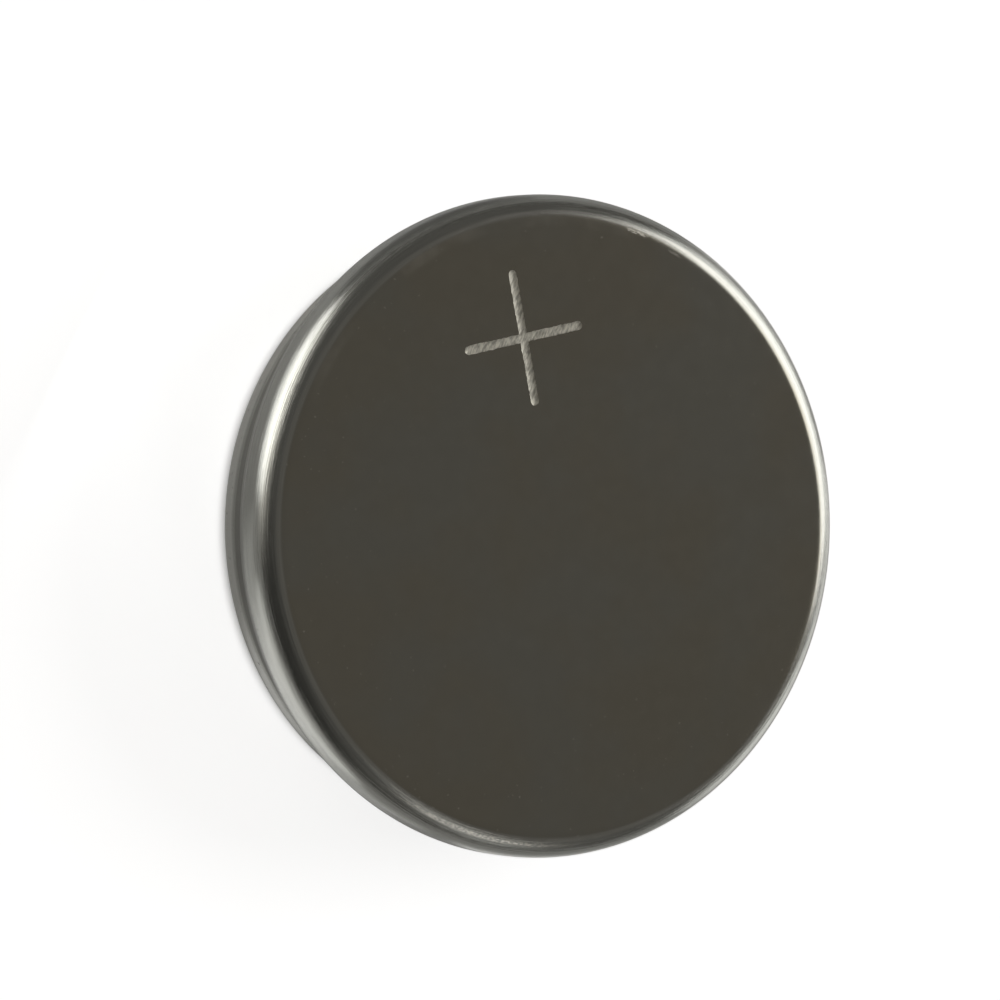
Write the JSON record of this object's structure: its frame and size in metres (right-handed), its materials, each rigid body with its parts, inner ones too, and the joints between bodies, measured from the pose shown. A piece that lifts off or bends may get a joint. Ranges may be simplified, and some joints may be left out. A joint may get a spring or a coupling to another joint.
{
  "type": "lithium coin cell",
  "caption": "Round lithium coin cell: crimped steel can with a wide rim band and a narrower waist, sealing gasket, stepped negative cap and the cell pack inside.",
  "frame": {"origin": "centre of the negative face, on the surface that the cell stands on", "axes": "+Z along the cell's axis from the negative face to the positive face, +Y towards the polarity sign on the positive face"},
  "size_m": [0.023, 0.023, 0.0054],
  "materials": {
    "can_steel": "satin positive face, polished bends and wall",
    "cap_steel": "fine satin with a drawn edge",
    "gasket_plastic": "moulded, matt",
    "collector_steel": "rolled sheet",
    "manganese_dioxide": "pressed powder, matt",
    "separator_fleece": "bonded fibres",
    "lithium_foil": "soft rolled foil"
  },
  "bodies": {
    "root": {"positive_can": "can_steel", "negative_cap": "cap_steel", "sealing_gasket": "gasket_plastic", "collector_ring": "collector_steel", "cathode_pellet": "manganese_dioxide", "separator": "separator_fleece", "lithium_disc": "lithium_foil"}
  },
  "joints": []
}
